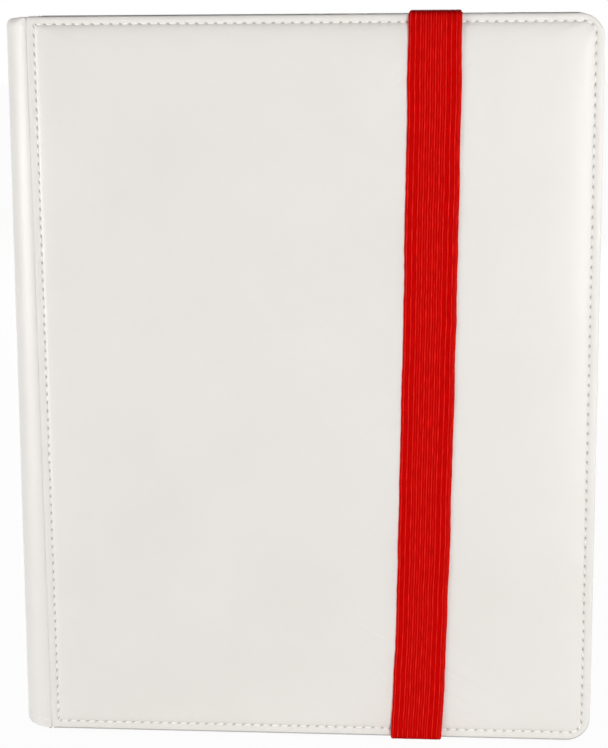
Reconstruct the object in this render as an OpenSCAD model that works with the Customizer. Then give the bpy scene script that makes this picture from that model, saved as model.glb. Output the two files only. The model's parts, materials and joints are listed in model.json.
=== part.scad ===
// Nine-pocket trading card binder, standing closed on its bottom edge.
// X runs from the spine to the fore edge, Y from the front cover to the back cover, Z up.
// The origin is under the middle of the binder, on the surface that it stands on.

/* [Covers] */
// Width of a cover, from the crease to the fore edge
cover_w = 263; // [245:1:280]
// Height of the covers
cover_h = 345; // [335:1:365]
// Radius of the two fore-edge corners
corner_r = 11.5; // [8:0.5:20]
// Thickness of the greyboard stiffener
board_t = 2.2; // [1.8:0.1:3]
// Thickness of the foam padding
foam_t = 2; // [1:0.1:4]
// Thickness of the leatherette
skin_t = 0.8; // [0.6:0.1:1]
// Thickness of the inner lining
lining_t = 0.5; // [0.3:0.1:0.8]
// Flat stitched border between the edge and the padding
border_w = 7.5; // [5:0.1:10]
// Distance of the seam from the edge
seam_inset = 4.1; // [3:0.1:4.5]

/* [Pages] */
// Number of bound pages
page_count = 20; // [10:1:22]
// Distance from one page to the next
page_pitch = 1.25; // [1.1:0.05:1.6]
// Height of a page
page_h = 322; // [310:1:325]
// Inside width of a card pocket
pocket_w = 71; // [69:0.5:71]
// Inside height of a card pocket
pocket_h = 97; // [94:0.5:98]
// Width of a weld between pockets
weld_w = 4; // [3:0.5:4]

/* [Spine] */
// How far the padded spine bulges past the creases
spine_bulge = 13; // [6:0.5:14]

/* [Elastic strap] */
// Width of the elastic
strap_w = 24.4; // [20:0.2:30]
// Thickness of the elastic
strap_t = 1.2; // [0.8:0.1:1.6]
// Distance from the crease to the middle of the strap at the top edge
strap_top_x = 187; // [150:1:220]
// Distance from the crease to the middle of the strap at the bottom edge
strap_bottom_x = 180.2; // [150:0.2:220]

/* [Hidden] */
$fn = 64;

// Everything that closes round the pages
pad_t = skin_t + foam_t + board_t + lining_t;       // a cover through its padding
strap_gap = 0.3;                                    // between the elastic and what it crosses
stand = strap_t + strap_gap;                        // the covers stand this far off the surface
inner_t = page_count * page_pitch;                  // room for the pages
total_t = inner_t + 2 * pad_t + stand;              // strap face to back face
total_w = cover_w + spine_bulge;

crease_x = -total_w / 2 + spine_bulge;
fore_x = total_w / 2;
front_y = -total_t / 2 + stand;                     // outer face of the front padding
back_y = total_t / 2;                               // outer face of the back padding
inner_front_y = front_y + pad_t;
inner_back_y = back_y - pad_t;
front_crease_y = front_y + foam_t;                  // the creases lie in the border's outer face
back_crease_y = back_y - foam_t;
middle_y = (front_crease_y + back_crease_y) / 2;
bottom_z = stand;
top_z = bottom_z + cover_h;

// Leatherette groove between a cover and the spine
crease_gap = 0.6;
pad_corner_r = 7;
thread_w = 0.7;
thread_t = 0.2;

// Spine
half_chord = (back_crease_y - front_crease_y) / 2;
spine_r = (half_chord * half_chord + spine_bulge * spine_bulge) / (2 * spine_bulge);
spine_board_t = 2;
spine_board_half_w = half_chord - 2.6;
spine_lining_t = 0.6;
spine_lining_x = crease_x - 0.2;

// Page binding
binding_x = spine_lining_x + spine_lining_t;
binding_base_t = 1.6;
binding_h = page_h - 4;
fin_t = 0.5;
fin_top_gap = 0.5;
page_hinge_x = crease_x + 6;                        // line that every page turns about

// Pages
backing_t = 0.2;
film_t = 0.12;
film_lift = 0.1;                                    // slack of an empty pocket
mouth_gap = 1;                                      // bare backing at the mouth of a pocket
page_root_gap = 1;                                  // from the hinge line to the sheet
page_fore_gap = 8;                                  // covers overhang the pages by this much
page_corner_r = 4;
page_bottom_z = bottom_z + (cover_h - page_h) / 2;
page_fore_x = fore_x - page_fore_gap;
column_pitch = mouth_gap + pocket_w + weld_w;
row_pitch = pocket_h + weld_w;
fore_hem = 8;                                       // bare backing along the fore edge
pockets_x = page_fore_x - fore_hem - 3 * column_pitch;
pockets_z = page_bottom_z + (page_h - 3 * row_pitch - weld_w) / 2;

// Elastic strap
strap_bend_r = 1.2;                                 // inside radius where it turns over an edge
tab_t = 1;
tab_depth = 15;
tab_lining_d = pad_t - lining_t;                    // depth of the lining's hidden face
strap_end_y = back_y - tab_lining_d + tab_t + 0.6;
strap_front_y = front_y - stand;

function two_digits(n) = str(n < 10 ? "0" : "", n);
function backing_name(n) = str("page_", two_digits(n), "_backing");
function pockets_name(n) = str("page_", two_digits(n), "_pockets");
function page_y(n) = inner_front_y + page_pitch * (n - 0.5);

COVER_PIECES = ["board", "foam", "skin", "lining", "seam_thread"];

// ---- Shapes that repeat ------------------------------------------------------------------

// Upright sheet: a flat outline drawn in X and Z, from y to y + t
module sheet_at(y, t) {
    translate([0, y + t, 0])
        rotate([90, 0, 0])
            linear_extrude(height = t)
                children();
}

// Outline from x0, z0 to x1, z1 with its two fore-edge corners rounded
module page_outline(x0, z0, x1, z1, r) {
    translate([x0, z0]) square([x1 - x0 - r, z1 - z0]);
    translate([x1 - r - 1, z0 + r]) square([r + 1, z1 - z0 - 2 * r]);
    for (z = [z0 + r, z1 - r])
        translate([x1 - r, z]) circle(r = r);
}

// Outline of a cover, drawn in by inset on every side
module cover_outline(inset) {
    page_outline(
        crease_x + crease_gap + inset, bottom_z + inset,
        fore_x - inset, top_z - inset,
        corner_r - inset
    );
}

// Outline of a cover's padding, drawn in by inset
module pad_outline(inset) {
    d = border_w + inset;
    page_outline(
        crease_x + crease_gap + d, bottom_z + d, fore_x - d, top_z - d, pad_corner_r - inset
    );
}

// A layer of a cover between two depths below the outer face of its padding
module layer(front, d0, d1) {
    sheet_at(front ? front_y + d0 : back_y - d1, d1 - d0) children();
}

// ---- Covers ------------------------------------------------------------------------------

// Room in the back board and the back skin's edge for the sewn end of the elastic
module tab_room(x, z0, z1) {
    sheet_at(back_y - tab_lining_d, tab_t)
        translate([crease_x + x - strap_w / 2, z0]) square([strap_w, z1 - z0]);
}

module both_tab_rooms() {
    tab_room(strap_top_x, top_z - tab_depth, top_z + 1);
    tab_room(strap_bottom_x, bottom_z - 1, bottom_z + tab_depth);
}

module cover_board(front) {
    color("tan") difference() {
        layer(front, skin_t + foam_t, tab_lining_d) cover_outline(skin_t);
        if (!front) both_tab_rooms();
    }
}

module cover_foam(front) {
    color("lightyellow")
        layer(front, skin_t, skin_t + foam_t) pad_outline(skin_t);
}

// Leatherette stretched over the foam and turned over the board's edges
module cover_skin(front) {
    color("white") difference() {
        union() {
            layer(front, 0, foam_t) pad_outline(0);
            layer(front, foam_t, tab_lining_d) cover_outline(0);
        }
        layer(front, skin_t, skin_t + foam_t) pad_outline(skin_t);
        layer(front, skin_t + foam_t, tab_lining_d + 1) cover_outline(skin_t);
        if (!front) both_tab_rooms();
    }
}

module cover_lining(front) {
    color("black")
        layer(front, tab_lining_d, pad_t) cover_outline(0.3);
}

module seam_ring() {
    difference() {
        cover_outline(seam_inset - thread_w / 2);
        cover_outline(seam_inset + thread_w / 2);
    }
}

// The lockstitch shows as one line outside and one inside
module cover_seam_thread(front) {
    color("ivory") {
        layer(front, foam_t - thread_t, foam_t) seam_ring();
        layer(front, pad_t, pad_t + thread_t) seam_ring();
    }
}

// ---- Spine -------------------------------------------------------------------------------

// Round-backed cross-section of the spine, in X and Y, as far as x1
module spine_section(r, x1) {
    intersection() {
        translate([crease_x - spine_bulge + spine_r, middle_y]) circle(r = r, $fn = 128);
        translate([crease_x - 2 * spine_bulge, middle_y - half_chord])
            square([x1 - crease_x + 2 * spine_bulge, 2 * half_chord]);
    }
}

module spine_board_shape() {
    translate([
        spine_lining_x - spine_board_t, middle_y - spine_board_half_w, bottom_z + skin_t
    ])
        cube([spine_board_t, 2 * spine_board_half_w, cover_h - 2 * skin_t]);
}

module spine_board() {
    color("tan") spine_board_shape();
}

module spine_foam() {
    color("lightyellow") difference() {
        translate([0, 0, bottom_z + skin_t])
            linear_extrude(height = cover_h - 2 * skin_t)
                spine_section(spine_r - skin_t, spine_lining_x);
        spine_board_shape();
    }
}

module spine_skin() {
    color("white") difference() {
        translate([0, 0, bottom_z])
            linear_extrude(height = cover_h) spine_section(spine_r, spine_lining_x);
        translate([0, 0, bottom_z + skin_t])
            linear_extrude(height = cover_h - 2 * skin_t)
                spine_section(spine_r - skin_t, spine_lining_x + 1);
    }
}

module spine_lining() {
    color("black")
        translate([spine_lining_x, front_crease_y + 0.6, bottom_z + 1])
            cube([spine_lining_t, 2 * half_chord - 1.2, cover_h - 2]);
}

// Strip with one upright hem for each page
module page_binding() {
    z = page_bottom_z + (page_h - binding_h) / 2;
    fin_h = page_hinge_x - fin_top_gap - binding_x;
    color("dimgray") {
        translate([binding_x, inner_front_y + 0.3, z])
            cube([binding_base_t, inner_t - 0.6, binding_h]);
        for (n = [1:page_count])
            translate([binding_x, page_y(n) - fin_t / 2, z])
                cube([fin_h, fin_t, binding_h]);
    }
}

// ---- Pages -------------------------------------------------------------------------------

module page_backing(n) {
    color("#202020")
        sheet_at(page_y(n) - backing_t / 2, backing_t)
            page_outline(
                page_hinge_x + page_root_gap, page_bottom_z,
                page_fore_x, page_bottom_z + page_h,
                page_corner_r
            );
}

// One column of three pockets: a clear strip from its mouth at x, which faces the spine
module pocket_strip(y_film, y_weld, x) {
    strip_w = pocket_w + weld_w;
    strip_h = 3 * row_pitch + weld_w;
    sheet_at(y_film, film_t)
        translate([x, pockets_z]) square([strip_w, strip_h]);
    sheet_at(y_weld, film_lift) {
        translate([x + pocket_w, pockets_z]) square([weld_w, strip_h]);
        for (row = [0:3])
            translate([x, pockets_z + row * row_pitch]) square([strip_w, weld_w]);
    }
}

module page_pockets(n) {
    y = page_y(n);
    near = backing_t / 2 + film_lift;
    color("lightcyan", 0.3)
        for (column = [0:2]) {
            x = pockets_x + column * column_pitch + mouth_gap;
            union() pocket_strip(y - near - film_t, y - near, x);
            union() pocket_strip(y + near, y + near - film_lift, x);
        }
}

// ---- Elastic strap -----------------------------------------------------------------------

// Sewn end of the elastic, held in the back cover between the board and the lining.
// It stands out of the cover's edge as far as the run that crosses the edge
module strap_anchor(x, z) {
    color("red")
        translate([crease_x + x - strap_w / 2, back_y - tab_lining_d, z])
            cube([strap_w, tab_t, tab_depth + strap_gap]);
}

// Quarter bend over the front cover's edge at height z; up is 1 at the top and -1 at the bottom
module strap_bend(x, z, up) {
    outer = strap_bend_r + strap_t;
    translate([crease_x + x - strap_w / 2, strap_front_y + outer, z - up * outer])
        rotate([0, 90, 0])
            difference() {
                intersection() {
                    cylinder(r = outer, h = strap_w);
                    translate([up > 0 ? -outer : 0, -outer, 0]) cube([outer, outer, strap_w]);
                }
                translate([0, 0, -1]) cylinder(r = strap_bend_r, h = strap_w + 2);
            }
}

// Run over the top or bottom edges, from the front bend back to the back cover
module strap_edge_run(x, z0) {
    y0 = strap_front_y + strap_bend_r + strap_t;
    translate([crease_x + x - strap_w / 2, y0, z0])
        cube([strap_w, strap_end_y - y0, strap_t]);
}

module elastic_strap() {
    bend = strap_bend_r + strap_t;
    top = top_z + stand;
    xt = crease_x + strap_top_x;
    xb = crease_x + strap_bottom_x;
    color("red") {
        sheet_at(strap_front_y, strap_t)
            polygon([
                [xb - strap_w / 2, bend], [xb + strap_w / 2, bend],
                [xt + strap_w / 2, top - bend], [xt - strap_w / 2, top - bend]
            ]);
        strap_bend(strap_top_x, top, 1);
        strap_bend(strap_bottom_x, 0, -1);
        strap_edge_run(strap_top_x, top - strap_t);
        strap_edge_run(strap_bottom_x, 0);
    }
}

// ---- Nodes -------------------------------------------------------------------------------

for (front = [true, false]) {
    side = front ? "front_" : "back_";
    cover_board(front);
    cover_foam(front);
    cover_skin(front);
    cover_lining(front);
    cover_seam_thread(front);
}
spine_board();
spine_foam();
spine_skin();
spine_lining();
page_binding();
strap_anchor(strap_top_x, top_z - tab_depth);  // strap_anchor_top
strap_anchor(strap_bottom_x, bottom_z - strap_gap);  // strap_anchor_bottom
elastic_strap();
for (n = [1:page_count]) {
    page_backing(n);
    page_pockets(n);
}
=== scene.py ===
"""The looks of a trading card binder: padded white leatherette covers, a red elastic and pocket pages.

Everything is in metres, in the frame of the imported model: X from the spine to the fore edge,
Y from the front cover to the back cover, Z up.
"""
import json
import math

import bmesh
import bpy
import numpy as np
from mathutils import Matrix, Vector, noise


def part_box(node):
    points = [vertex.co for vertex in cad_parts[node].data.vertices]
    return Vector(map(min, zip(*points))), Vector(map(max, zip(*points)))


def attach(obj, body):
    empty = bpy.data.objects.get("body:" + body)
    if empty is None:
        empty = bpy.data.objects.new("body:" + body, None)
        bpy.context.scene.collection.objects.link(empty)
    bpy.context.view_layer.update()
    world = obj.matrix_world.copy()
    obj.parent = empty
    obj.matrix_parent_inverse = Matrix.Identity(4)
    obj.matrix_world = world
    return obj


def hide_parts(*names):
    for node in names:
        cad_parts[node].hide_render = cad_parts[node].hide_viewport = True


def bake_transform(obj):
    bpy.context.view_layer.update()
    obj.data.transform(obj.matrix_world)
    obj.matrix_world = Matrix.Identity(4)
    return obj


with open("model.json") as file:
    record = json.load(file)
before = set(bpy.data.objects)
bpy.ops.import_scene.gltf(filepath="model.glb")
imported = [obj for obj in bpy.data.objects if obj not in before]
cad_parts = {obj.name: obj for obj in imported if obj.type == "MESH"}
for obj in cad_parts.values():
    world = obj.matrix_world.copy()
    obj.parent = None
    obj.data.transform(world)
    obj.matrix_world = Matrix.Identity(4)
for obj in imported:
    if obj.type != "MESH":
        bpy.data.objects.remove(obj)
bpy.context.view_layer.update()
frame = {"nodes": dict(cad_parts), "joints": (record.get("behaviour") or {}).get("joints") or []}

MM = 0.001

# ---- Places, read from the frame --------------------------------------------------------

skin_lo, skin_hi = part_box("front_skin")
lining_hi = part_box("front_lining")[1]
spine_lining_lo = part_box("spine_lining")[0]
binding_lo, binding_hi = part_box("page_binding")
strap_lo, strap_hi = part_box("elastic_strap")
anchor_top_lo, anchor_top_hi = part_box("strap_anchor_top")
anchor_bottom_lo, anchor_bottom_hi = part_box("strap_anchor_bottom")

PAGES = sum(name.endswith("_backing") for name in frame["nodes"])
JOINTS = {joint["name"]: joint for joint in frame["joints"]}
CREASE_X = JOINTS["front_cover_crease"]["pos_m"][0]
FRONT_BORDER_Y = JOINTS["front_cover_crease"]["pos_m"][1]   # outer face of the stitched border
BACK_BORDER_Y = JOINTS["spine_crease"]["pos_m"][1]
COVER_X, FORE_X = skin_lo.x, skin_hi.x
BOTTOM_Z, TOP_Z = skin_lo.z, skin_hi.z
MIDDLE_Y = (FRONT_BORDER_Y + BACK_BORDER_Y) / 2
PAD_H = FRONT_BORDER_Y - skin_lo.y                          # the padding's rise off the border
INNER_D = lining_hi.y - FRONT_BORDER_Y                      # depth of the lining's shown face
CROWN_H = PAD_H + 0.2 * MM                                  # and bulges a little in its middle
STRAP_GAP = anchor_top_hi.z - TOP_Z
STRAP_T = strap_hi.z - anchor_top_hi.z
STRAP_W = anchor_top_hi.x - anchor_top_lo.x
STRAP_TOP_X = (anchor_top_lo.x + anchor_top_hi.x) / 2
STRAP_BOTTOM_X = (anchor_bottom_lo.x + anchor_bottom_hi.x) / 2
ANCHOR_Y = (anchor_top_lo.y + anchor_top_hi.y) / 2

# The two covers are alike: out is the way their outer face looks, along Y
COVERS = {
    "front": {"body": "front_cover", "border_y": FRONT_BORDER_Y, "out": -1},
    "back": {"body": "back_cover", "border_y": BACK_BORDER_Y, "out": 1},
}


# ---- Camera, floor and light ------------------------------------------------------------

def make_camera():
    """The main view: a little from the right and from above, turned a hair."""
    azimuth, elevation, roll = math.radians(4.80), math.radians(11.66), math.radians(-0.495)
    distance = 0.893
    target = Vector((CREASE_X + 126.4 * MM, FRONT_BORDER_Y, BOTTOM_Z + 179.5 * MM))
    back = Vector((
        math.sin(azimuth) * math.cos(elevation),
        -math.cos(azimuth) * math.cos(elevation),
        math.sin(elevation),
    ))
    right = Vector((0, 0, 1)).cross(back).normalized()
    up = back.cross(right)
    rolled_right = right * math.cos(roll) + up * math.sin(roll)
    rolled_up = up * math.cos(roll) - right * math.sin(roll)
    camera = bpy.data.objects.new("camera", bpy.data.cameras.new("camera"))
    camera.data.sensor_width = 36
    camera.data.lens = 91.68
    camera.matrix_world = (
        Matrix.Translation(target + back * distance)
        @ Matrix((rolled_right, rolled_up, back)).transposed().to_4x4()
    )
    bpy.context.collection.objects.link(camera)
    bpy.context.scene.camera = camera


def seen_directly(nodes, links):
    """1 for what is seen straight on, in a mirror or through glass, and 0 for light that bounces."""
    path = nodes.new("ShaderNodeLightPath")
    total = None
    for name in ("Is Camera Ray", "Is Glossy Ray", "Is Transmission Ray"):
        if total is None:
            total = path.outputs[name]
            continue
        largest = nodes.new("ShaderNodeMath")
        largest.operation = "MAXIMUM"
        links.new(total, largest.inputs[0])
        links.new(path.outputs[name], largest.inputs[1])
        total = largest.outputs[0]
    return total


FLOOR_WHITE = 0.96                 # how much of the seen floor is plain white; the rest is lit paper
OVERHEAD = 0.36                    # strength of the light from overhead, against that from the sides


def make_floor():
    """A pale floor that looks white and keeps a soft shadow."""
    half = 6.0
    mesh = bpy.data.meshes.new("floor")
    corners = [(-half, -half, 0), (half, -half, 0), (half, half, 0), (-half, half, 0)]
    mesh.from_pydata(corners, [], [(0, 1, 2, 3)])
    floor = bpy.data.objects.new("floor", mesh)
    bpy.context.collection.objects.link(floor)
    material = bpy.data.materials.new("floor_paper")
    material.use_nodes = True
    nodes, links = material.node_tree.nodes, material.node_tree.links
    nodes.clear()
    paper = nodes.new("ShaderNodeBsdfDiffuse")
    paper.inputs["Color"].default_value = (0.85, 0.85, 0.85, 1)
    glow = nodes.new("ShaderNodeEmission")
    glow.inputs["Strength"].default_value = 1
    share = nodes.new("ShaderNodeMath")
    share.operation = "MULTIPLY"
    share.inputs[1].default_value = FLOOR_WHITE
    links.new(seen_directly(nodes, links), share.inputs[0])
    mixed = nodes.new("ShaderNodeMixShader")
    links.new(share.outputs[0], mixed.inputs[0])
    links.new(paper.outputs[0], mixed.inputs[1])
    links.new(glow.outputs[0], mixed.inputs[2])
    output = nodes.new("ShaderNodeOutputMaterial")
    links.new(mixed.outputs[0], output.inputs["Surface"])
    floor.data.materials.append(material)


def make_world(strength):
    """A soft studio light, weaker overhead than from the sides, that the camera sees as white."""
    world = bpy.data.worlds.new("studio")
    bpy.context.scene.world = world
    world.use_nodes = True
    nodes, links = world.node_tree.nodes, world.node_tree.links
    nodes.clear()
    seen = nodes.new("ShaderNodeBackground")
    seen.inputs["Strength"].default_value = 1
    seen.inputs["Color"].default_value = (1, 1, 1, 1)
    light = nodes.new("ShaderNodeBackground")
    light.inputs["Color"].default_value = (1, 1, 1, 1)
    height = nodes.new("ShaderNodeSeparateXYZ")
    links.new(nodes.new("ShaderNodeTexCoord").outputs["Generated"], height.inputs[0])
    dimmer = nodes.new("ShaderNodeMapRange")
    dimmer.inputs["To Min"].default_value = strength
    dimmer.inputs["To Max"].default_value = OVERHEAD * strength
    links.new(height.outputs["Z"], dimmer.inputs["Value"])
    links.new(dimmer.outputs["Result"], light.inputs["Strength"])
    mixed = nodes.new("ShaderNodeMixShader")
    links.new(seen_directly(nodes, links), mixed.inputs[0])
    links.new(light.outputs[0], mixed.inputs[1])
    links.new(seen.outputs[0], mixed.inputs[2])
    output = nodes.new("ShaderNodeOutputWorld")
    links.new(mixed.outputs[0], output.inputs["Surface"])


def soft_light(name, place, width, height, watts, colour=(1, 1, 1)):
    """A large lamp that looks at the middle of the binder."""
    lamp = bpy.data.objects.new(name, bpy.data.lights.new(name, "AREA"))
    lamp.data.shape = "RECTANGLE"
    lamp.data.size = width
    lamp.data.size_y = height
    lamp.data.energy = watts
    lamp.data.color = colour
    lamp.location = place
    aim = Vector((0, 0, (BOTTOM_Z + TOP_Z) / 2)) - Vector(place)
    lamp.rotation_mode = "QUATERNION"
    lamp.rotation_quaternion = aim.to_track_quat("-Z", "Y")
    bpy.context.collection.objects.link(lamp)


def make_light():
    make_world(0.355)
    soft_light("key", (0.82, -1.44, 0.15), 0.5, 0.27, 12.9, (1.0, 0.99, 0.975))
    soft_light("fill", (-1.5, -0.68, 0.15), 0.9, 0.27, 13.3)
    soft_light("side", (1.6, -0.3, 0.15), 0.5, 0.27, 5.5)
    soft_light("rear", (0.4, 1.6, 0.6), 1.2, 0.8, 19.0)


# ---- Materials --------------------------------------------------------------------------

def new_material(name, base, roughness, specular=0.4):
    """A Principled material with one plain colour, and its node tree."""
    material = bpy.data.materials.new(name)
    material.use_nodes = True
    shader = material.node_tree.nodes["Principled BSDF"]
    shader.inputs["Base Color"].default_value = (*base, 1)
    shader.inputs["Roughness"].default_value = roughness
    shader.inputs["Specular IOR Level"].default_value = specular
    return material, material.node_tree.nodes, material.node_tree.links, shader


def noise_node(nodes, links, scale, detail=3, stretch=None):
    """Noise in the row frame. stretch scales each axis, for grain that runs one way."""
    place = nodes.new("ShaderNodeTexCoord").outputs["Object"]
    if stretch:
        mapping = nodes.new("ShaderNodeMapping")
        mapping.inputs["Scale"].default_value = stretch
        links.new(place, mapping.inputs["Vector"])
        place = mapping.outputs["Vector"]
    texture = nodes.new("ShaderNodeTexNoise")
    texture.inputs["Scale"].default_value = scale
    texture.inputs["Detail"].default_value = detail
    links.new(place, texture.inputs["Vector"])
    return texture.outputs["Fac"]


def ramp(nodes, links, fac, low, high, at=(0.35, 0.65)):
    """Colour from low to high as fac goes between the two places in at."""
    node = nodes.new("ShaderNodeValToRGB")
    node.color_ramp.elements[0].position, node.color_ramp.elements[1].position = at
    node.color_ramp.elements[0].color = (*low, 1)
    node.color_ramp.elements[1].color = (*high, 1)
    links.new(fac, node.inputs["Fac"])
    return node.outputs["Color"]


def mix_colour(nodes, links, fac, a, b, mode="MIX"):
    node = nodes.new("ShaderNodeMix")
    node.data_type = "RGBA"
    node.blend_type = mode
    for value, socket in ((fac, node.inputs[0]), (a, node.inputs[6]), (b, node.inputs[7])):
        if isinstance(value, (int, float)):
            socket.default_value = value
        elif isinstance(value, tuple):
            socket.default_value = (*value, 1)
        else:
            links.new(value, socket)
    return node.outputs[2]


def math_node(nodes, links, operation, *values):
    node = nodes.new("ShaderNodeMath")
    node.operation = operation
    for value, socket in zip(values, node.inputs):
        if isinstance(value, (int, float)):
            socket.default_value = value
        else:
            links.new(value, socket)
    return node.outputs[0]


def bump(nodes, links, height, strength, distance, after=None):
    node = nodes.new("ShaderNodeBump")
    node.inputs["Strength"].default_value = strength
    node.inputs["Distance"].default_value = distance
    links.new(height, node.inputs["Height"])
    if after is not None:
        links.new(after, node.inputs["Normal"])
    return node.outputs["Normal"]


def vary_roughness(nodes, links, shader, source, low, high):
    """Roughness from low to high as source goes from 0 to 1."""
    rough = nodes.new("ShaderNodeMapRange")
    rough.inputs["To Min"].default_value = low
    rough.inputs["To Max"].default_value = high
    links.new(source, rough.inputs["Value"])
    links.new(rough.outputs["Result"], shader.inputs["Roughness"])


def cell_distance(nodes, links, scale, feature="F1"):
    """Distance from the middle of cells that cover the surface."""
    cells = nodes.new("ShaderNodeTexVoronoi")
    cells.feature = feature
    cells.inputs["Scale"].default_value = scale
    links.new(nodes.new("ShaderNodeTexCoord").outputs["Object"], cells.inputs["Vector"])
    return cells.outputs["Distance"]


def attribute(nodes, name):
    node = nodes.new("ShaderNodeAttribute")
    node.attribute_name = name
    return node.outputs["Fac"]


def leatherette():
    """White coated cloth: a fine pebble grain, faint clouding, and painted shade in the needle holes
    and on the edge it stands on.
    """
    white, grey = (0.815, 0.795, 0.765), (0.795, 0.772, 0.738)
    material, nodes, links, shader = new_material("white_leatherette", white, 0.42, 0.5)
    clouds = ramp(nodes, links, noise_node(nodes, links, 18, 4), grey, white)
    holes = attribute(nodes, "shade")
    # the shade attribute mixes the colour towards this grey: painted shade in the needle holes and
    # along the bottom edge
    colour = mix_colour(nodes, links, holes, clouds, (0.33, 0.32, 0.295))
    links.new(colour, shader.inputs["Base Color"])
    pebbles = cell_distance(nodes, links, 1150, "SMOOTH_F1")
    coarse = bump(nodes, links, noise_node(nodes, links, 260, 4), 0.12, 0.1 * MM)
    fine = bump(nodes, links, pebbles, 0.22, 0.08 * MM, coarse)
    links.new(fine, shader.inputs["Normal"])
    vary_roughness(nodes, links, shader, noise_node(nodes, links, 320, 3), 0.36, 0.48)
    return material


def sewing_thread():
    """Off-white polyester thread with a twist."""
    material, nodes, links, shader = new_material("white_thread", (0.93, 0.92, 0.89), 0.6, 0.3)
    fibres = noise_node(nodes, links, 2600, 2, (1, 1, 0.4))
    colour = ramp(nodes, links, fibres, (0.86, 0.85, 0.82), (0.97, 0.96, 0.93))
    links.new(colour, shader.inputs["Base Color"])
    links.new(bump(nodes, links, fibres, 0.4, 0.1 * MM), shader.inputs["Normal"])
    return material


WEFT_PITCH_MM = 0.62


def elastic():
    """Red ribbed elastic. The mesh stores across and along in millimetres, ridge, 1 on a ridge, where
    the red is painted lighter as a highlight, and shade, where it is painted darker as shade.
    """
    dark, light = (0.55, 0.0002, 0.0), (0.79, 0.026, 0.018)
    material, nodes, links, shader = new_material("red_elastic", dark, 0.9, 0.03)
    across, along = attribute(nodes, "across"), attribute(nodes, "along")
    ridge = attribute(nodes, "ridge")
    grain = nodes.new("ShaderNodeTexNoise")
    grain.inputs["Scale"].default_value = 1.0
    grain.inputs["Detail"].default_value = 3
    where = nodes.new("ShaderNodeCombineXYZ")
    links.new(math_node(nodes, links, "MULTIPLY", across, 2.6), where.inputs[0])
    links.new(math_node(nodes, links, "MULTIPLY", along, 0.16), where.inputs[1])
    links.new(where.outputs[0], grain.inputs["Vector"])
    streaks = ramp(nodes, links, grain.outputs["Fac"], (0.4, 0.4, 0.4), (1.0, 1.0, 1.0))
    lit = math_node(nodes, links, "MULTIPLY", ridge, streaks)
    # painted highlight: the ridges are coloured a lighter red, broken up by streaks
    colour = mix_colour(nodes, links, lit, dark, light)
    faint = ramp(nodes, links, grain.outputs["Fac"], (0.86, 0.86, 0.86), (1.12, 1.12, 1.12))
    colour = mix_colour(nodes, links, 1.0, colour, faint, "MULTIPLY")
    fold_shade = attribute(nodes, "shade")
    # painted shade: the red is darkened towards maroon where it turns over the binder's edges and
    # along its runs over them
    colour = mix_colour(nodes, links, fold_shade, colour, (0.09, 0.0, 0.006))
    links.new(colour, shader.inputs["Base Color"])
    turns = math_node(nodes, links, "MULTIPLY", along, 2 * math.pi / WEFT_PITCH_MM)
    weft = math_node(nodes, links, "SINE", turns)
    links.new(bump(nodes, links, weft, 0.35, 0.05 * MM), shader.inputs["Normal"])
    return material


def black_lining():
    """Black coated lining with a close weave."""
    material, nodes, links, shader = new_material("black_lining", (0.016, 0.016, 0.018), 0.62, 0.35)
    clouds = noise_node(nodes, links, 30, 3)
    colour = ramp(nodes, links, clouds, (0.012, 0.012, 0.013), (0.022, 0.022, 0.024))
    links.new(colour, shader.inputs["Base Color"])
    weave = cell_distance(nodes, links, 900)
    links.new(bump(nodes, links, weave, 0.35, 0.1 * MM), shader.inputs["Normal"])
    return material


def page_plastic(name, tone):
    """Matt black polypropylene with a fine moulded grain."""
    material, nodes, links, shader = new_material(name, (tone, tone, tone * 1.08), 0.45, 0.45)
    grain = noise_node(nodes, links, 1500, 2)
    colour = ramp(nodes, links, noise_node(nodes, links, 40, 2),
                  (tone * 0.85, tone * 0.85, tone * 0.92), (tone * 1.2, tone * 1.2, tone * 1.3))
    links.new(colour, shader.inputs["Base Color"])
    links.new(bump(nodes, links, grain, 0.3, 0.06 * MM), shader.inputs["Normal"])
    return material


def clear_film():
    """Soft clear film: mostly see-through, with a wavy gloss."""
    material, nodes, links, shader = new_material("clear_film", (0.95, 0.96, 0.97), 0.12, 0.32)
    shader.inputs["Alpha"].default_value = 0.05
    waves = noise_node(nodes, links, 55, 2)
    links.new(bump(nodes, links, waves, 0.35, 0.8 * MM), shader.inputs["Normal"])
    vary_roughness(nodes, links, shader, waves, 0.08, 0.2)
    material.surface_render_method = "BLENDED"
    return material


def grey_board():
    """Dense board with flecks of fibre."""
    material, nodes, links, shader = new_material("grey_board", (0.3, 0.26, 0.2), 0.85, 0.2)
    flecks = noise_node(nodes, links, 900, 4)
    colour = ramp(nodes, links, flecks, (0.22, 0.19, 0.14), (0.36, 0.32, 0.25))
    links.new(colour, shader.inputs["Base Color"])
    links.new(bump(nodes, links, flecks, 0.4, 0.1 * MM), shader.inputs["Normal"])
    return material


def foam_material():
    """Cream foam with open cells."""
    material, nodes, links, shader = new_material("cream_foam", (0.8, 0.76, 0.62), 0.9, 0.15)
    cells = cell_distance(nodes, links, 1400)
    colour = ramp(nodes, links, cells, (0.7, 0.66, 0.52), (0.84, 0.8, 0.68))
    links.new(colour, shader.inputs["Base Color"])
    links.new(bump(nodes, links, cells, 0.6, 0.2 * MM), shader.inputs["Normal"])
    return material


# ---- Mesh helpers -----------------------------------------------------------------------

def smooth_step(t):
    t = np.clip(t, 0, 1)
    return t * t * (3 - 2 * t)


def grid_faces(rows, columns, closed_rows=False, closed_columns=False, first=0):
    """Quads of a grid of rows by columns points, wrapping round where it is closed."""
    faces = []
    for i in range(rows if closed_rows else rows - 1):
        here, there = first + i * columns, first + (i + 1) % rows * columns
        for j in range(columns if closed_columns else columns - 1):
            k = (j + 1) % columns
            faces.append((here + j, here + k, there + k, there + j))
    return faces


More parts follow.
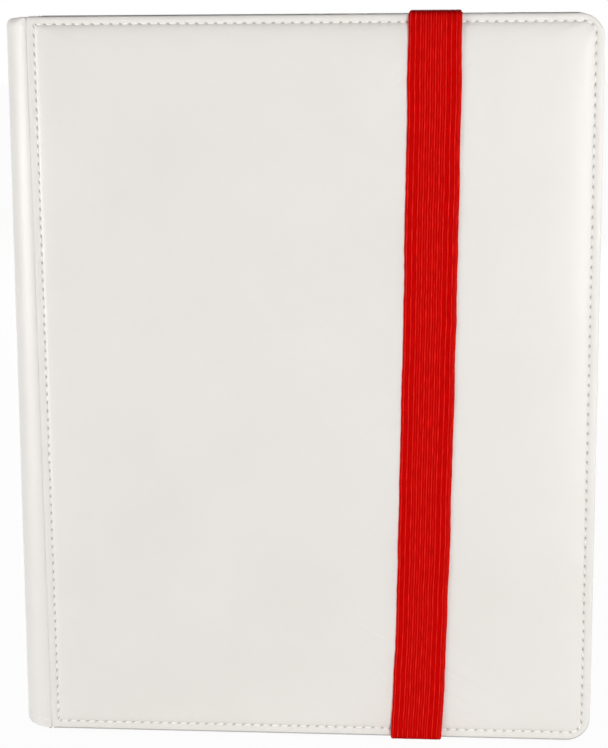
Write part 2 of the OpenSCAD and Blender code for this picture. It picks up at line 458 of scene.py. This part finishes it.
def make_piece(name, points, faces, material, attributes=None):
    """A smooth-shaded mesh object with its faces turned outwards and its point attributes."""
    mesh = bpy.data.meshes.new(name)
    mesh.from_pydata([tuple(p) for p in np.asarray(points, float).reshape(-1, 3)], [], faces)
    shell = bmesh.new()
    shell.from_mesh(mesh)
    bmesh.ops.recalc_face_normals(shell, faces=shell.faces)
    shell.to_mesh(mesh)
    shell.free()
    for key, values in (attributes or {}).items():
        layer = mesh.attributes.new(key, "FLOAT", "POINT")
        layer.data.foreach_set("value", np.asarray(values, np.float32).ravel())
    mesh.polygons.foreach_set("use_smooth", [True] * len(mesh.polygons))
    mesh.materials.append(material)
    piece = bpy.data.objects.new(name, mesh)
    bpy.context.collection.objects.link(piece)
    return piece


def wander(x, y, seed, size):
    """Smooth noise between about -1 and 1 that changes over size metres."""
    return noise.noise(Vector((x / size, y / size, seed * 7.31)))


# ---- A cover's outline and its seam -----------------------------------------------------

CORNER_R = 11.5 * MM               # at the fore edge
SEAM_INSET = 4.2 * MM
SEAM_CORNER_R = 5 * MM
SPINE_SEAM_SHIFT = 1.15 * MM       # the seam runs this much closer to the edge beside the spine
TOP_SEAM_SHIFT = 0.75 * MM         # and along the top
SPINE_CORNER_R = 0.9 * MM
SPINE_SEAM_CORNER_R = 0.8 * MM
CORNER_GROWTH = 0.9                # inside the seam the corners round off by this much a metre
SAMPLES_PER_STITCH = 6
# Stitch length on the edge at the bottom, fore edge, top and spine
STITCH = {"bottom": 4.5 * MM, "fore": 4.6 * MM, "top": 4.35 * MM, "spine": 4.2 * MM}


def corner_radii(inset):
    """Radius of the fore-edge corners and of the spine corners at a distance inside the edge."""
    if inset < SEAM_INSET:
        share = inset / SEAM_INSET
        return (CORNER_R + (SEAM_CORNER_R - CORNER_R) * share,
                SPINE_CORNER_R + (SPINE_SEAM_CORNER_R - SPINE_CORNER_R) * share)
    growth = CORNER_GROWTH * (inset - SEAM_INSET)
    most = 0.4 * (FORE_X - COVER_X - 2 * inset)
    return min(SEAM_CORNER_R + growth, most), min(SPINE_SEAM_CORNER_R + growth, most)


def outline_stretches():
    """The eight stretches of a cover's outline, anticlockwise, and how many stitches each holds."""
    side_w = FORE_X - COVER_X - 2 * SEAM_INSET - SEAM_CORNER_R
    side_h = TOP_Z - BOTTOM_Z - 2 * SEAM_INSET
    straight = {
        "bottom": side_w, "top": side_w, "fore": side_h - 2 * SEAM_CORNER_R, "spine": side_h,
    }
    stretches = []
    for side, corner, corner_stitches in (
        ("bottom", "fore_bottom", 2), ("fore", "fore_top", 2),
        ("top", "spine_top", 1), ("spine", "spine_bottom", 1),
    ):
        stretches.append((side, round(straight[side] / STITCH[side])))
        stretches.append((corner, corner_stitches))
    return stretches


def outline_point(stretch, f, inset):
    """Point (x, z) and outward normal (nx, nz) at an inset, a fraction f along a stretch."""
    r, s = corner_radii(inset)
    x0, x1, z0, z1 = COVER_X + inset, FORE_X - inset, BOTTOM_Z + inset, TOP_Z - inset
    shifted = min(1.0, inset / SEAM_INSET)
    x0 -= SPINE_SEAM_SHIFT * shifted
    z1 += TOP_SEAM_SHIFT * shifted
    lines = {
        "bottom": ((x0 + s, z0), (x1 - r, z0), (0, -1)),
        "fore": ((x1, z0 + r), (x1, z1 - r), (1, 0)),
        "top": ((x1 - r, z1), (x0 + s, z1), (0, 1)),
        "spine": ((x0, z1 - s), (x0, z0 + s), (-1, 0)),
    }
    arcs = {
        "fore_bottom": (x1 - r, z0 + r, r, -90), "fore_top": (x1 - r, z1 - r, r, 0),
        "spine_top": (x0 + s, z1 - s, s, 90), "spine_bottom": (x0 + s, z0 + s, s, 180),
    }
    if stretch in lines:
        a, b, normal = lines[stretch]
        return a[0] + (b[0] - a[0]) * f, a[1] + (b[1] - a[1]) * f, normal[0], normal[1]
    cx, cz, radius, start = arcs[stretch]
    angle = math.radians(start + 90 * f)
    nx, nz = math.cos(angle), math.sin(angle)
    return cx + radius * nx, cz + radius * nz, nx, nz


STRETCHES = outline_stretches()
SAMPLES = [
    (stretch, k / (stitches * SAMPLES_PER_STITCH))
    for stretch, stitches in STRETCHES
    for k in range(stitches * SAMPLES_PER_STITCH)
]


# ---- Padded covers ----------------------------------------------------------------------

def strap_middle_x(z):
    """Middle of the elastic at a height, with the slight bow that it has between its ends."""
    share = (z - BOTTOM_Z) / (TOP_Z - BOTTOM_Z)
    bow = 0.9 * MM * (4 * share * (1 - share) - math.exp(-share / 0.06))
    return STRAP_BOTTOM_X + (STRAP_TOP_X - STRAP_BOTTOM_X) * share + bow


def strap_press(x, z):
    """How far the elastic presses the padding in, from 0 beside it to 1 under it."""
    beyond = abs(x - strap_middle_x(z)) - STRAP_W / 2
    return float(smooth_step(0.5 - beyond / (2.4 * MM)))


def pad_height(inset, nx):
    """Height of the padding over the border: steep at the seam, then a long crown.

    It rises more gently from the seam along the spine and the fore edge.
    """
    steep, long = (2.8 + 2.6 * abs(nx)) * MM, 12 * MM
    deeper = inset - SEAM_INSET
    return CROWN_H * (1 - 0.62 * math.exp(-deeper / steep) - 0.38 * math.exp(-deeper / long))


def outer_height(inset, x, z, nx, phase, seed):
    """Height of the leatherette's outer face over the border plane."""
    if inset <= SEAM_INSET:
        height = 0.16 * MM * math.sin(math.pi * inset / SEAM_INSET)
    else:
        height = pad_height(inset, nx)
    from_seam = inset - SEAM_INSET
    height -= 0.4 * MM * math.exp(-(from_seam / (0.7 * MM)) ** 2)
    pull = math.cos(2 * math.pi * phase) * math.exp(-abs(from_seam) / (1.7 * MM))
    height -= 0.07 * MM * pull
    near = math.exp(-abs(from_seam) / (6 * MM))
    height += 0.16 * MM * near * wander(x, z, seed, 7 * MM)
    height += 0.10 * MM * near * wander(x, z, seed + 3, 2.6 * MM)
    inside = float(smooth_step(from_seam / (12 * MM)))
    height += 0.10 * MM * inside * wander(x, z, seed + 5, 55 * MM)
    return height


# (inset, depth under the border) round the turned edge, from behind the lining to the outer face
EDGE_PROFILE = [
    (7.0, 2.9), (3.0, 2.98), (1.0, 3.0), (0.45, 2.88), (0.12, 2.55), (0.0, 2.1),
    (0.0, 1.15), (0.1, 0.68), (0.32, 0.3), (0.68, 0.08), (1.1, 0.0),
]
BOTTOM_EDGE_SHADE = 0.8                        # how dark the painted shade is on the edge that the binder stands on
HOLE_D = 0.3 * MM                  # depth of a needle hole
PRESS_D = 0.3 * MM                 # how far the elastic presses the padding in
# Rings over the outer face, as insets from the edge
OUTER_INSETS = [
    1.6, 2.2, 2.8, 3.3, 3.7, 3.95, 4.2, 4.45, 4.7, 5.1, 5.7, 6.4, 7.2, 8.1, 9.2, 10.6, 12.4,
    15, 19, 26, 36, 48, 62, 78, 95, 112, 124,
]
MIDDLE_INSET = OUTER_INSETS[-1] * MM
FADE_INSET = 60 * MM               # from here to the middle the waves of the padding fade out


def hole_depth(phase, from_seam):
    """1 in a needle hole, falling to 0 round it. phase is 0 at one hole and 1 at the next."""
    along = min(phase, 1 - phase)
    return math.exp(-(along / 0.13) ** 2 - (from_seam / (0.42 * MM)) ** 2)


def make_cover(key, leather):
    """The padded leatherette of a cover: turned edges, a stitched border and a soft crown."""
    cover = COVERS[key]
    seed = 1 if key == "front" else 40
    points, shade = [], []

    def add(x, z, height, dark):
        points.append((x, cover["border_y"] + cover["out"] * height, z))
        shade.append(dark)

    for inset_mm, depth_mm in EDGE_PROFILE:
        for stretch, f in SAMPLES:
            x, z, nx, nz = outline_point(stretch, f, inset_mm * MM)
            # the downward face of the turned edge along the bottom is darkened as painted shade
            edge_shade = BOTTOM_EDGE_SHADE * max(0.0, -nz) * (0.05 < depth_mm < 2.8)
            tight = 1                                # the front of the edge is sharper by the spine
            if depth_mm < 1:
                tight = 1 - 0.6 * max(0.0, -nx)
                x, z, nx, nz = outline_point(stretch, f, inset_mm * tight * MM)
            add(x, z, -depth_mm * tight * MM, edge_shade)
    for inset_mm in OUTER_INSETS:
        inset = inset_mm * MM
        fade = float(smooth_step((MIDDLE_INSET - inset) / FADE_INSET))
        for index, (stretch, f) in enumerate(SAMPLES):
            x, z, nx, nz = outline_point(stretch, f, inset)
            phase = index % SAMPLES_PER_STITCH / SAMPLES_PER_STITCH
            height = outer_height(inset, x, z, nx, phase, seed)
            if inset > FADE_INSET:
                height = CROWN_H + (height - CROWN_H) * fade
            if key == "front":
                press = strap_press(x, z)
                height -= press * PRESS_D * float(smooth_step((inset - 1.5 * MM) / (9 * MM)))
            # each needle hole is dimpled and also gets painted shade through the shade attribute
            dark = hole_depth(phase, inset - SEAM_INSET)
            add(x, z, height - HOLE_D * dark, dark)
    ring = len(SAMPLES)
    rows = len(EDGE_PROFILE) + len(OUTER_INSETS)
    faces = grid_faces(rows, ring, closed_columns=True)
    faces.append(tuple(range(ring)))
    faces.append(tuple(range((rows - 1) * ring, rows * ring)))
    piece = make_piece(f"{key}_cover_leatherette", points, faces, leather,
                       {"shade": shade})
    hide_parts(f"{key}_skin", f"{key}_foam")
    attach(piece, cover["body"])


# ---- Stitches ---------------------------------------------------------------------------

THREAD_R = 0.38 * MM
STITCH_SIDES = 8
STITCH_RINGS = 7
STITCH_SHARE = 0.66                # of the distance from hole to hole
SEAM_D = 0.3 * MM                  # the outer row lies this far under the border's face


def add_stitch(points, faces, start, end, out, lift):
    """One stitch from start to end: a short thread that humps outwards and dives at both ends."""
    start, end, out = Vector(start), Vector(end), Vector(out)
    run = end - start
    side = out.cross(run).normalized()
    first = len(points)
    for i in range(STITCH_RINGS):
        t = i / (STITCH_RINGS - 1)
        hump = math.sin(math.pi * t)
        radius = THREAD_R * (0.35 + 0.65 * hump ** 0.5)
        centre = start + run * t + out * (lift * hump ** 0.6 - 0.5 * THREAD_R)
        for k in range(STITCH_SIDES):
            angle = 2 * math.pi * k / STITCH_SIDES
            offset = side * math.cos(angle) * radius + out * math.sin(angle) * radius * 0.8
            points.append(tuple(centre + offset))
    faces.extend(grid_faces(STITCH_RINGS, STITCH_SIDES, closed_columns=True, first=first))
    faces.append(tuple(range(first, first + STITCH_SIDES)))
    last = first + (STITCH_RINGS - 1) * STITCH_SIDES
    faces.append(tuple(range(last, last + STITCH_SIDES)))


def make_cover_stitches(key, thread):
    """Every stitch of a cover's seam: an outer row in the leatherette and an inner in the lining."""
    cover = COVERS[key]
    rows = (
        (-SEAM_D, cover["out"], 0.24 * MM),          # (height off the border, way out, hump)
        (-INNER_D, -cover["out"], 0.02 * MM),
    )
    points, faces = [], []
    count = 0
    for stretch, stitches in STRETCHES:
        for k in range(stitches):
            count += 1
            loose = 0.04 * noise.noise(Vector((count * 0.71, 3.3, 0)))
            ends = []
            for share in (0.5 - STITCH_SHARE / 2 + loose, 0.5 + STITCH_SHARE / 2 + loose):
                x, z, nx, nz = outline_point(stretch, (k + share) / stitches, SEAM_INSET)
                ends.append(Vector((x, 0, z)))
            across = Vector((nx, 0, nz))
            slant = 0.1 * MM * (1 + 0.5 * noise.noise(Vector((count * 0.37, 0, 5.1))))
            start, end = ends[0] + across * slant, ends[1] - across * slant
            for height, out, lift in rows:
                level = Vector((0, cover["border_y"] + cover["out"] * height, 0))
                add_stitch(points, faces, start + level, end + level, (0, out, 0), lift)
    piece = make_piece(f"{key}_cover_stitches", points, faces, thread)
    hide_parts(f"{key}_seam_thread")
    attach(piece, cover["body"])


# ---- Spine ------------------------------------------------------------------------------

HALF_CHORD = (BACK_BORDER_Y - FRONT_BORDER_Y) / 2
SPINE_TOP_BULGE, SPINE_BOTTOM_BULGE = 12.0 * MM, 14.6 * MM
SPINE_TOP_DROP, SPINE_BOTTOM_DROP = 0.7 * MM, 0.3 * MM     # the ends draw in towards the bulge
SPINE_TOP_R, SPINE_BOTTOM_R = 3.4 * MM, 1.3 * MM           # rounding of the ends, in the middle
CREASE_EDGE_R = 1.0 * MM                                   # and beside the creases
SPINE_STITCH = 4.3 * MM


def spine_arc(f, z):
    """Point (x, y) and normal of the spine's round back; f is 0 at the front crease, 1 at the back."""
    share = (z - BOTTOM_Z) / (TOP_Z - BOTTOM_Z)
    bulge = SPINE_BOTTOM_BULGE + (SPINE_TOP_BULGE - SPINE_BOTTOM_BULGE) * share
    radius = (HALF_CHORD ** 2 + bulge ** 2) / (2 * bulge)
    reach = math.asin(min(1.0, HALF_CHORD / radius))
    if bulge > HALF_CHORD:
        reach = math.pi - reach
    angle = reach * (2 * f - 1)
    centre_x = CREASE_X - bulge + radius
    nx, ny = -math.cos(angle), math.sin(angle)
    return centre_x + radius * nx, MIDDLE_Y + radius * ny, nx, ny


def spine_end_z(f, top):
    """Height of the spine's end: level with the covers at the creases, drawn in at the middle."""
    hump = float(smooth_step(min(f, 1 - f) / 0.3))
    return TOP_Z - SPINE_TOP_DROP * hump if top else BOTTOM_Z + SPINE_BOTTOM_DROP * hump


def spine_surface(f, z):
    """Point on the spine's leatherette, with its rounded shoulders and its faint waves."""
    x, y, nx, ny = spine_arc(f, z)
    edge = min(f, 1 - f)
    sink = 0.3 * MM * math.exp(-edge / 0.02)
    round_it = f * 30 * MM
    wave = (0.10 * MM * wander(z, round_it, 71, 26 * MM)
            + 0.05 * MM * wander(z, round_it, 75, 7 * MM))
    return x - nx * (sink - wave), y - ny * (sink - wave)


def make_spine(leather):
    """The padded spine: a round back with rounded ends and a flat inside."""
    across = [0.5 - 0.5 * math.cos(math.pi * k / 64) for k in range(65)]
    inside_x = spine_lining_lo.x - 0.05 * MM
    inside = [(inside_x, MIDDLE_Y + HALF_CHORD * (1 - 2 * k / 12) * 0.985) for k in range(13)]
    # (place from 0 at the top to 1 at the bottom, how far in from that end, how far the outline
    # shrinks), the last two as shares of the rounding's radius
    angles = [math.pi / 2 * k / 8 for k in range(8, -1, -1)]
    rounding = [(1 - math.sin(a), 1 - math.cos(a)) for a in angles]
    levels = [(0.0, back, shrink) for back, shrink in rounding]
    steps = 120
    levels += [(k / steps, 1, 0) for k in range(1, steps)]
    levels += [(1.0, back, shrink) for back, shrink in reversed(rounding)]
    centre_x, centre_y = CREASE_X - 1 * MM, MIDDLE_Y          # the ends shrink towards this line
    points = []
    for place, back, shrink in levels:
        row = []
        full = SPINE_TOP_R if place < 0.5 else SPINE_BOTTOM_R
        for f in across:
            beside = float(smooth_step(min(f, 1 - f) / 0.16))
            radius = CREASE_EDGE_R + (full - CREASE_EDGE_R) * beside
            top_z, bottom_z = spine_end_z(f, True), spine_end_z(f, False)
            if 0 < place < 1:
                high, low = top_z - SPINE_TOP_R, bottom_z + SPINE_TOP_R
                z = high + (low - high) * place
            else:
                z = top_z - radius * back if place == 0 else bottom_z + radius * back
            x, y = spine_surface(f, z)
            scale = 1 - radius * shrink / math.hypot(x - centre_x, y - centre_y)
            row.append((centre_x + (x - centre_x) * scale, centre_y + (y - centre_y) * scale, z))
        for x, y in inside:
            f = (y - MIDDLE_Y + HALF_CHORD) / (2 * HALF_CHORD)
            high = spine_end_z(f, True) - CREASE_EDGE_R * back
            low = spine_end_z(f, False) + CREASE_EDGE_R * back
            row.append((x, y, high + (low - high) * place))
        points.append(row)
    columns = len(across) + len(inside)
    rows = len(points)
    flat = [p for row in points for p in row]
    faces = grid_faces(rows, columns, closed_columns=True)
    # each end is closed by a strip between the round back and the flat inside
    for row in (0, rows - 1):
        faces.extend(cap_strip(flat, row * columns, len(across), len(inside)))
    piece = make_piece("spine_leatherette", flat, faces, leather,
                       {"shade": [0] * len(flat)})
    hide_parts("spine_skin", "spine_foam")
    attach(piece, "spine")


def cap_strip(points, first, back_count, inside_count):
    """Triangles that close an end of the spine, between its round back and its flat inside."""
    faces = []
    back = list(range(first, first + back_count))
    inside = list(range(first + back_count, first + back_count + inside_count))[::-1]
    i = j = 0
    while i < len(back) - 1 or j < len(inside) - 1:
        back_next = points[back[i + 1]][1] if i < len(back) - 1 else math.inf
        inside_next = points[inside[j + 1]][1] if j < len(inside) - 1 else math.inf
        if back_next <= inside_next:
            faces.append((back[i], back[i + 1], inside[j]))
            i += 1
        else:
            faces.append((back[i], inside[j + 1], inside[j]))
            j += 1
    return faces


def make_spine_stitches(thread):
    """The seam goes on across both ends of the spine, in line with the covers' rows."""
    points, faces = [], []
    length = 2 * HALF_CHORD * 1.35
    count = round(length / SPINE_STITCH)
    for top in (True, False):
        for k in range(count):
            ends = []
            for share in (0.5 - STITCH_SHARE / 2, 0.5 + STITCH_SHARE / 2):
                f = (k + share) / count
                z = spine_end_z(f, top) + (-SEAM_INSET if top else SEAM_INSET)
                x, y = spine_surface(f, z)
                ends.append(Vector((x, y, z)))
            x, y, nx, ny = spine_arc((k + 0.5) / count, (ends[0].z + ends[1].z) / 2)
            out = Vector((nx, ny, 0))
            slant = Vector((0, 0, 0.2 * MM))
            add_stitch(points, faces, ends[0] + slant, ends[1] - slant, out, 0.14 * MM)
    piece = make_piece("spine_end_stitches", points, faces, thread)
    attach(piece, "spine")


# ---- Creases ----------------------------------------------------------------------------

def band_faces(rows, columns):
    """Faces of a band with two sides of equal width, closed at both ends. Each row goes round it."""
    faces = grid_faces(rows, columns, closed_columns=True)
    for row in (0, rows - 1):
        base = row * columns
        for i in range(columns // 2 - 1):
            faces.append((base + i, base + i + 1, base + columns - 2 - i, base + columns - 1 - i))
    return faces


def strip_piece(name, profile, z0, z1, thickness, material, steps=60):
    """A thin strip that runs up the binder: profile is its (x, y) line, thickened to one side."""
    line = [Vector((x, y)) for x, y in profile]
    offset_line = []
    for i, p in enumerate(line):
        before, after = line[max(i - 1, 0)], line[min(i + 1, len(line) - 1)]
        along = (after - before).normalized()
        offset_line.append(p + Vector((-along.y, along.x)) * thickness)
    ring = [(p.x, p.y) for p in line] + [(p.x, p.y) for p in reversed(offset_line)]
    points = []
    for k in range(steps + 1):
        z = z0 + (z1 - z0) * k / steps
        points.extend((x, y, z) for x, y in ring)
    return make_piece(name, points, band_faces(steps + 1, len(ring)), material)


def curve_through(corners, per_span=6):
    """A smooth line through the corners, as a Catmull-Rom curve."""
    padded = [corners[0], *corners, corners[-1]]
    line = []
    for i in range(1, len(padded) - 2):
        p0, p1, p2, p3 = (np.array(padded[i + k - 1], float) for k in range(4))
        for step in range(per_span):
            t = step / per_span
            line.append(tuple(0.5 * (
                2 * p1 + (p2 - p0) * t + (2 * p0 - 5 * p1 + 4 * p2 - p3) * t ** 2
                + (3 * p1 - p0 - 3 * p2 + p3) * t ** 3
            )))
    line.append(tuple(corners[-1]))
    return line


# (distance from the crease, height off the border) across the groove in the leatherette
GROOVE = ((-2.4, -1.4), (-1.4, -0.66), (-0.6, -0.4), (0.1, -0.32), (0.8, -0.34), (1.6, -1.0))
# (distance from the crease, height off the lining) across the gutter inside
GUTTER = ((0.5, -1.2), (0.6, -0.3), (1.2, 0.05), (2.4, 0.1), (4.0, 0.08))


def make_creases(leather, lining):
    """The folding leatherette between the spine and each cover, and the lining inside it."""
    for key, cover in COVERS.items():
        border, out = cover["border_y"], cover["out"]
        groove = curve_through([(CREASE_X + x * MM, border + out * h * MM) for x, h in GROOVE])
        piece = strip_piece(f"{key}_crease_leatherette", groove, BOTTOM_Z + 0.8 * MM, TOP_Z - 0.8 * MM,
                            0.5 * MM, leather)
        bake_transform(piece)
        gutter = curve_through([
            (CREASE_X + x * MM, border - out * (INNER_D + d * MM)) for x, d in GUTTER
        ])
        piece = strip_piece(f"{key}_gutter_lining", gutter, BOTTOM_Z + 1.2 * MM, TOP_Z - 1.2 * MM,
                            0.12 * MM, lining)
        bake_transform(piece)


# ---- Elastic ----------------------------------------------------------------------------

# Ridges across the elastic: its warp threads, painted lighter as a highlight, with finer ones between
# them in the middle
RIDGES = 10
FIRST_RIDGE, RIDGE_PITCH = 1.07 * MM, 2.33 * MM
RIDGE_W = 0.52 * MM
RIDGE_H = 0.07 * MM
DRAWN_IN = 0.45 * MM               # each side draws in by this much over the binder's edges


def ridge_points(middle, share):
    """One ridge of the elastic, with a rounded top; share is 1 for a full one."""
    half = RIDGE_W / 2
    return [(middle - half, 0.0, 0.0), (middle - 0.45 * half, RIDGE_H * share, share),
            (middle + 0.45 * half, RIDGE_H * share, share), (middle + half, 0.0, 0.0)]


def rib_profile():
    """(place across from 0 to 1, height, ridge) over the elastic's face; ridge is how far the red is
    painted lighter as a highlight.
    """
    profile = [(0.0, -0.42 * MM, 0.1), (0.15 * MM, -0.1 * MM, 0.3), (0.4 * MM, 0.0, 0.3)]
    for k in range(RIDGES):
        middle = FIRST_RIDGE + RIDGE_PITCH * k
        profile += ridge_points(middle, 1.0)
        if k == RIDGES - 1:
            continue
        fine = 0.45 if 1 < k < RIDGES - 3 else 0.1
        profile += ridge_points(middle + RIDGE_PITCH / 2, fine)
    profile += [(STRAP_W - 1.2 * MM, 0.04 * MM, 0.3), (STRAP_W - 0.4 * MM, 0.0, 0.45),
                (STRAP_W - 0.15 * MM, -0.1 * MM, 0.2), (STRAP_W, -0.42 * MM, 0.0)]
    return [(place / (STRAP_W if place > 0 else 1), height, ridge) for place, height, ridge in profile]


def strap_route():
    """(y, z, way out) up the middle of the elastic's thickness, from one sewn end to the other."""
    front_y = FRONT_BORDER_Y - STRAP_GAP - STRAP_T / 2
    low_z, high_z = BOTTOM_Z - STRAP_GAP - STRAP_T / 2, TOP_Z + STRAP_GAP + STRAP_T / 2
    bend, tuck = 2.2 * MM, 1.0 * MM                  # radius at the front edges and at the ends
    edge_steps, front_steps = 24, 240
    route = []

    def arc(cy, cz, radius, start, stop, steps=8):
        for k in range(steps + 1):
            angle = math.radians(start + (stop - start) * k / steps)
            out_y, out_z = math.cos(angle), math.sin(angle)
            route.append((cy + radius * out_y, cz + radius * out_z, out_y, out_z))

    route.append((ANCHOR_Y, low_z + tuck + 2 * MM, 1, 0))
    arc(ANCHOR_Y - tuck, low_z + tuck, tuck, 0, -90)
    span = ANCHOR_Y - tuck - (front_y + bend)
    for k in range(1, edge_steps):
        route.append((ANCHOR_Y - tuck - span * k / edge_steps, low_z, 0, -1))
    arc(front_y + bend, low_z + bend, bend, -90, -180)
    front_span = high_z - low_z - 2 * bend
    for k in range(1, front_steps):
        route.append((front_y, low_z + bend + front_span * k / front_steps, -1, 0))
    arc(front_y + bend, high_z - bend, bend, 180, 90)
    for k in range(edge_steps - 1, 0, -1):
        route.append((ANCHOR_Y - tuck - span * k / edge_steps, high_z, 0, 1))
    arc(ANCHOR_Y - tuck, high_z - tuck, tuck, 90, 0)
    route.append((ANCHOR_Y, high_z - tuck - 2 * MM, 1, 0))
    return route


def strap_rise(z):
    """How far the elastic is carried out by the padding under it, at a height."""
    inset = max(0.0, min(z - BOTTOM_Z, TOP_Z - z))
    return (PAD_H - 0.5 * MM) * (1 - math.exp(-inset / (5.2 * MM)))


def selvedge(travelled, seed, long_wave, short_wave):
    """How far an edge of the elastic wanders to the side."""
    return (0.42 * MM * wander(travelled, 0, seed, long_wave)
            + 0.16 * MM * wander(travelled, 0, seed + 1, short_wave))


def make_strap(material):
    """The ribbed elastic: round the bottom edge, up the front and back over the top edge."""
    profile = rib_profile()
    points, across, along, ridge, shade = [], [], [], [], []
    travelled = 0.0
    last = None
    for y, z, out_y, out_z in strap_route():
        travelled += 0 if last is None else math.hypot(y - last[0], z - last[1])
        last = (y, z)
        on_front = out_y < -0.5
        y -= strap_rise(z) if out_y < 0 else 0
        middle = strap_middle_x(min(max(z, BOTTOM_Z), TOP_Z))
        left = -STRAP_W / 2 + selvedge(travelled, 11, 21 * MM, 5 * MM)
        right = STRAP_W / 2 + selvedge(travelled, 17, 24 * MM, 6 * MM)
        from_end = min(z - strap_lo.z, strap_hi.z - z)
        drawn, turned = DRAWN_IN, 0.5                # narrower where it turns away, and darker there as painted shade
        if on_front:
            drawn *= math.exp(-(from_end / (1.1 * MM)) ** 2)
            turned = 0.6 * (1 - float(smooth_step(from_end / (2.0 * MM))))
        left, right = left + drawn, right - drawn
        for face in (1, -1):
            for place, height, mark in (profile if face == 1 else reversed(profile)):
                crimp = 0.05 * MM * wander(travelled, place * 25 * MM, 23, 2.2 * MM)
                offset = face * (STRAP_T / 2 - 0.1 * MM + height + crimp)
                x = middle + left + (right - left) * place
                points.append((x, y + out_y * offset, z + out_z * offset))
                across.append(place * STRAP_W / MM)
                along.append(travelled / MM)
                ridge.append(mark)
                shade.append(turned)
    columns = 2 * len(profile)
    faces = band_faces(len(points) // columns, columns)
    piece = make_piece("elastic_band", points, faces, material,
                       {"across": across, "along": along, "ridge": ridge, "shade": shade})
    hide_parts("elastic_strap")
    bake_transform(piece)


# ---- Pages ------------------------------------------------------------------------------

def make_page_hems(plastic):
    """The thin flexible hem that joins each page to the binding strip."""
    for n in range(1, PAGES + 1):
        body = f"page_{n:02d}"
        sheet_lo, sheet_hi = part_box(f"{body}_backing")
        y = (sheet_lo.y + sheet_hi.y) / 2
        x0, x1 = binding_hi.x - 2.2 * MM, sheet_lo.x + 1.2 * MM
        line = [(x0 + (x1 - x0) * k / 14, y - 0.1 * MM) for k in range(15)]
        piece = strip_piece(f"{body}_hem", line, binding_lo.z + 1 * MM, binding_hi.z - 1 * MM,
                            0.2 * MM, plastic, steps=12)
        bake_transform(piece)


def paint_frame(materials):
    """Gives each CAD node that is shown as it is a material."""
    endings = {
        "_board": "board", "_foam": "foam", "_lining": "lining",
        "_backing": "page", "_pockets": "film",
        "page_binding": "binding", "strap_anchor_top": "elastic", "strap_anchor_bottom": "elastic",
        "_skin": "leather", "_seam_thread": "thread", "elastic_strap": "elastic",
    }
    for name, node in frame["nodes"].items():
        key = next(value for ending, value in endings.items() if name.endswith(ending))
        node.data.materials.clear()
        node.data.materials.append(materials[key])


# ---- Build ------------------------------------------------------------------------------

bpy.context.scene.view_settings.view_transform = "Standard"
make_camera()
make_floor()
make_light()

materials = {
    "leather": leatherette(), "thread": sewing_thread(), "elastic": elastic(),
    "lining": black_lining(), "film": clear_film(), "board": grey_board(), "foam": foam_material(),
    "page": page_plastic("page_polypropylene", 0.02),
    "binding": page_plastic("binding_polypropylene", 0.03),
}
paint_frame(materials)
for side in COVERS:
    make_cover(side, materials["leather"])
    make_cover_stitches(side, materials["thread"])
make_spine(materials["leather"])
make_spine_stitches(materials["thread"])
make_creases(materials["leather"], materials["lining"])
make_strap(materials["elastic"])
make_page_hems(materials["binding"])
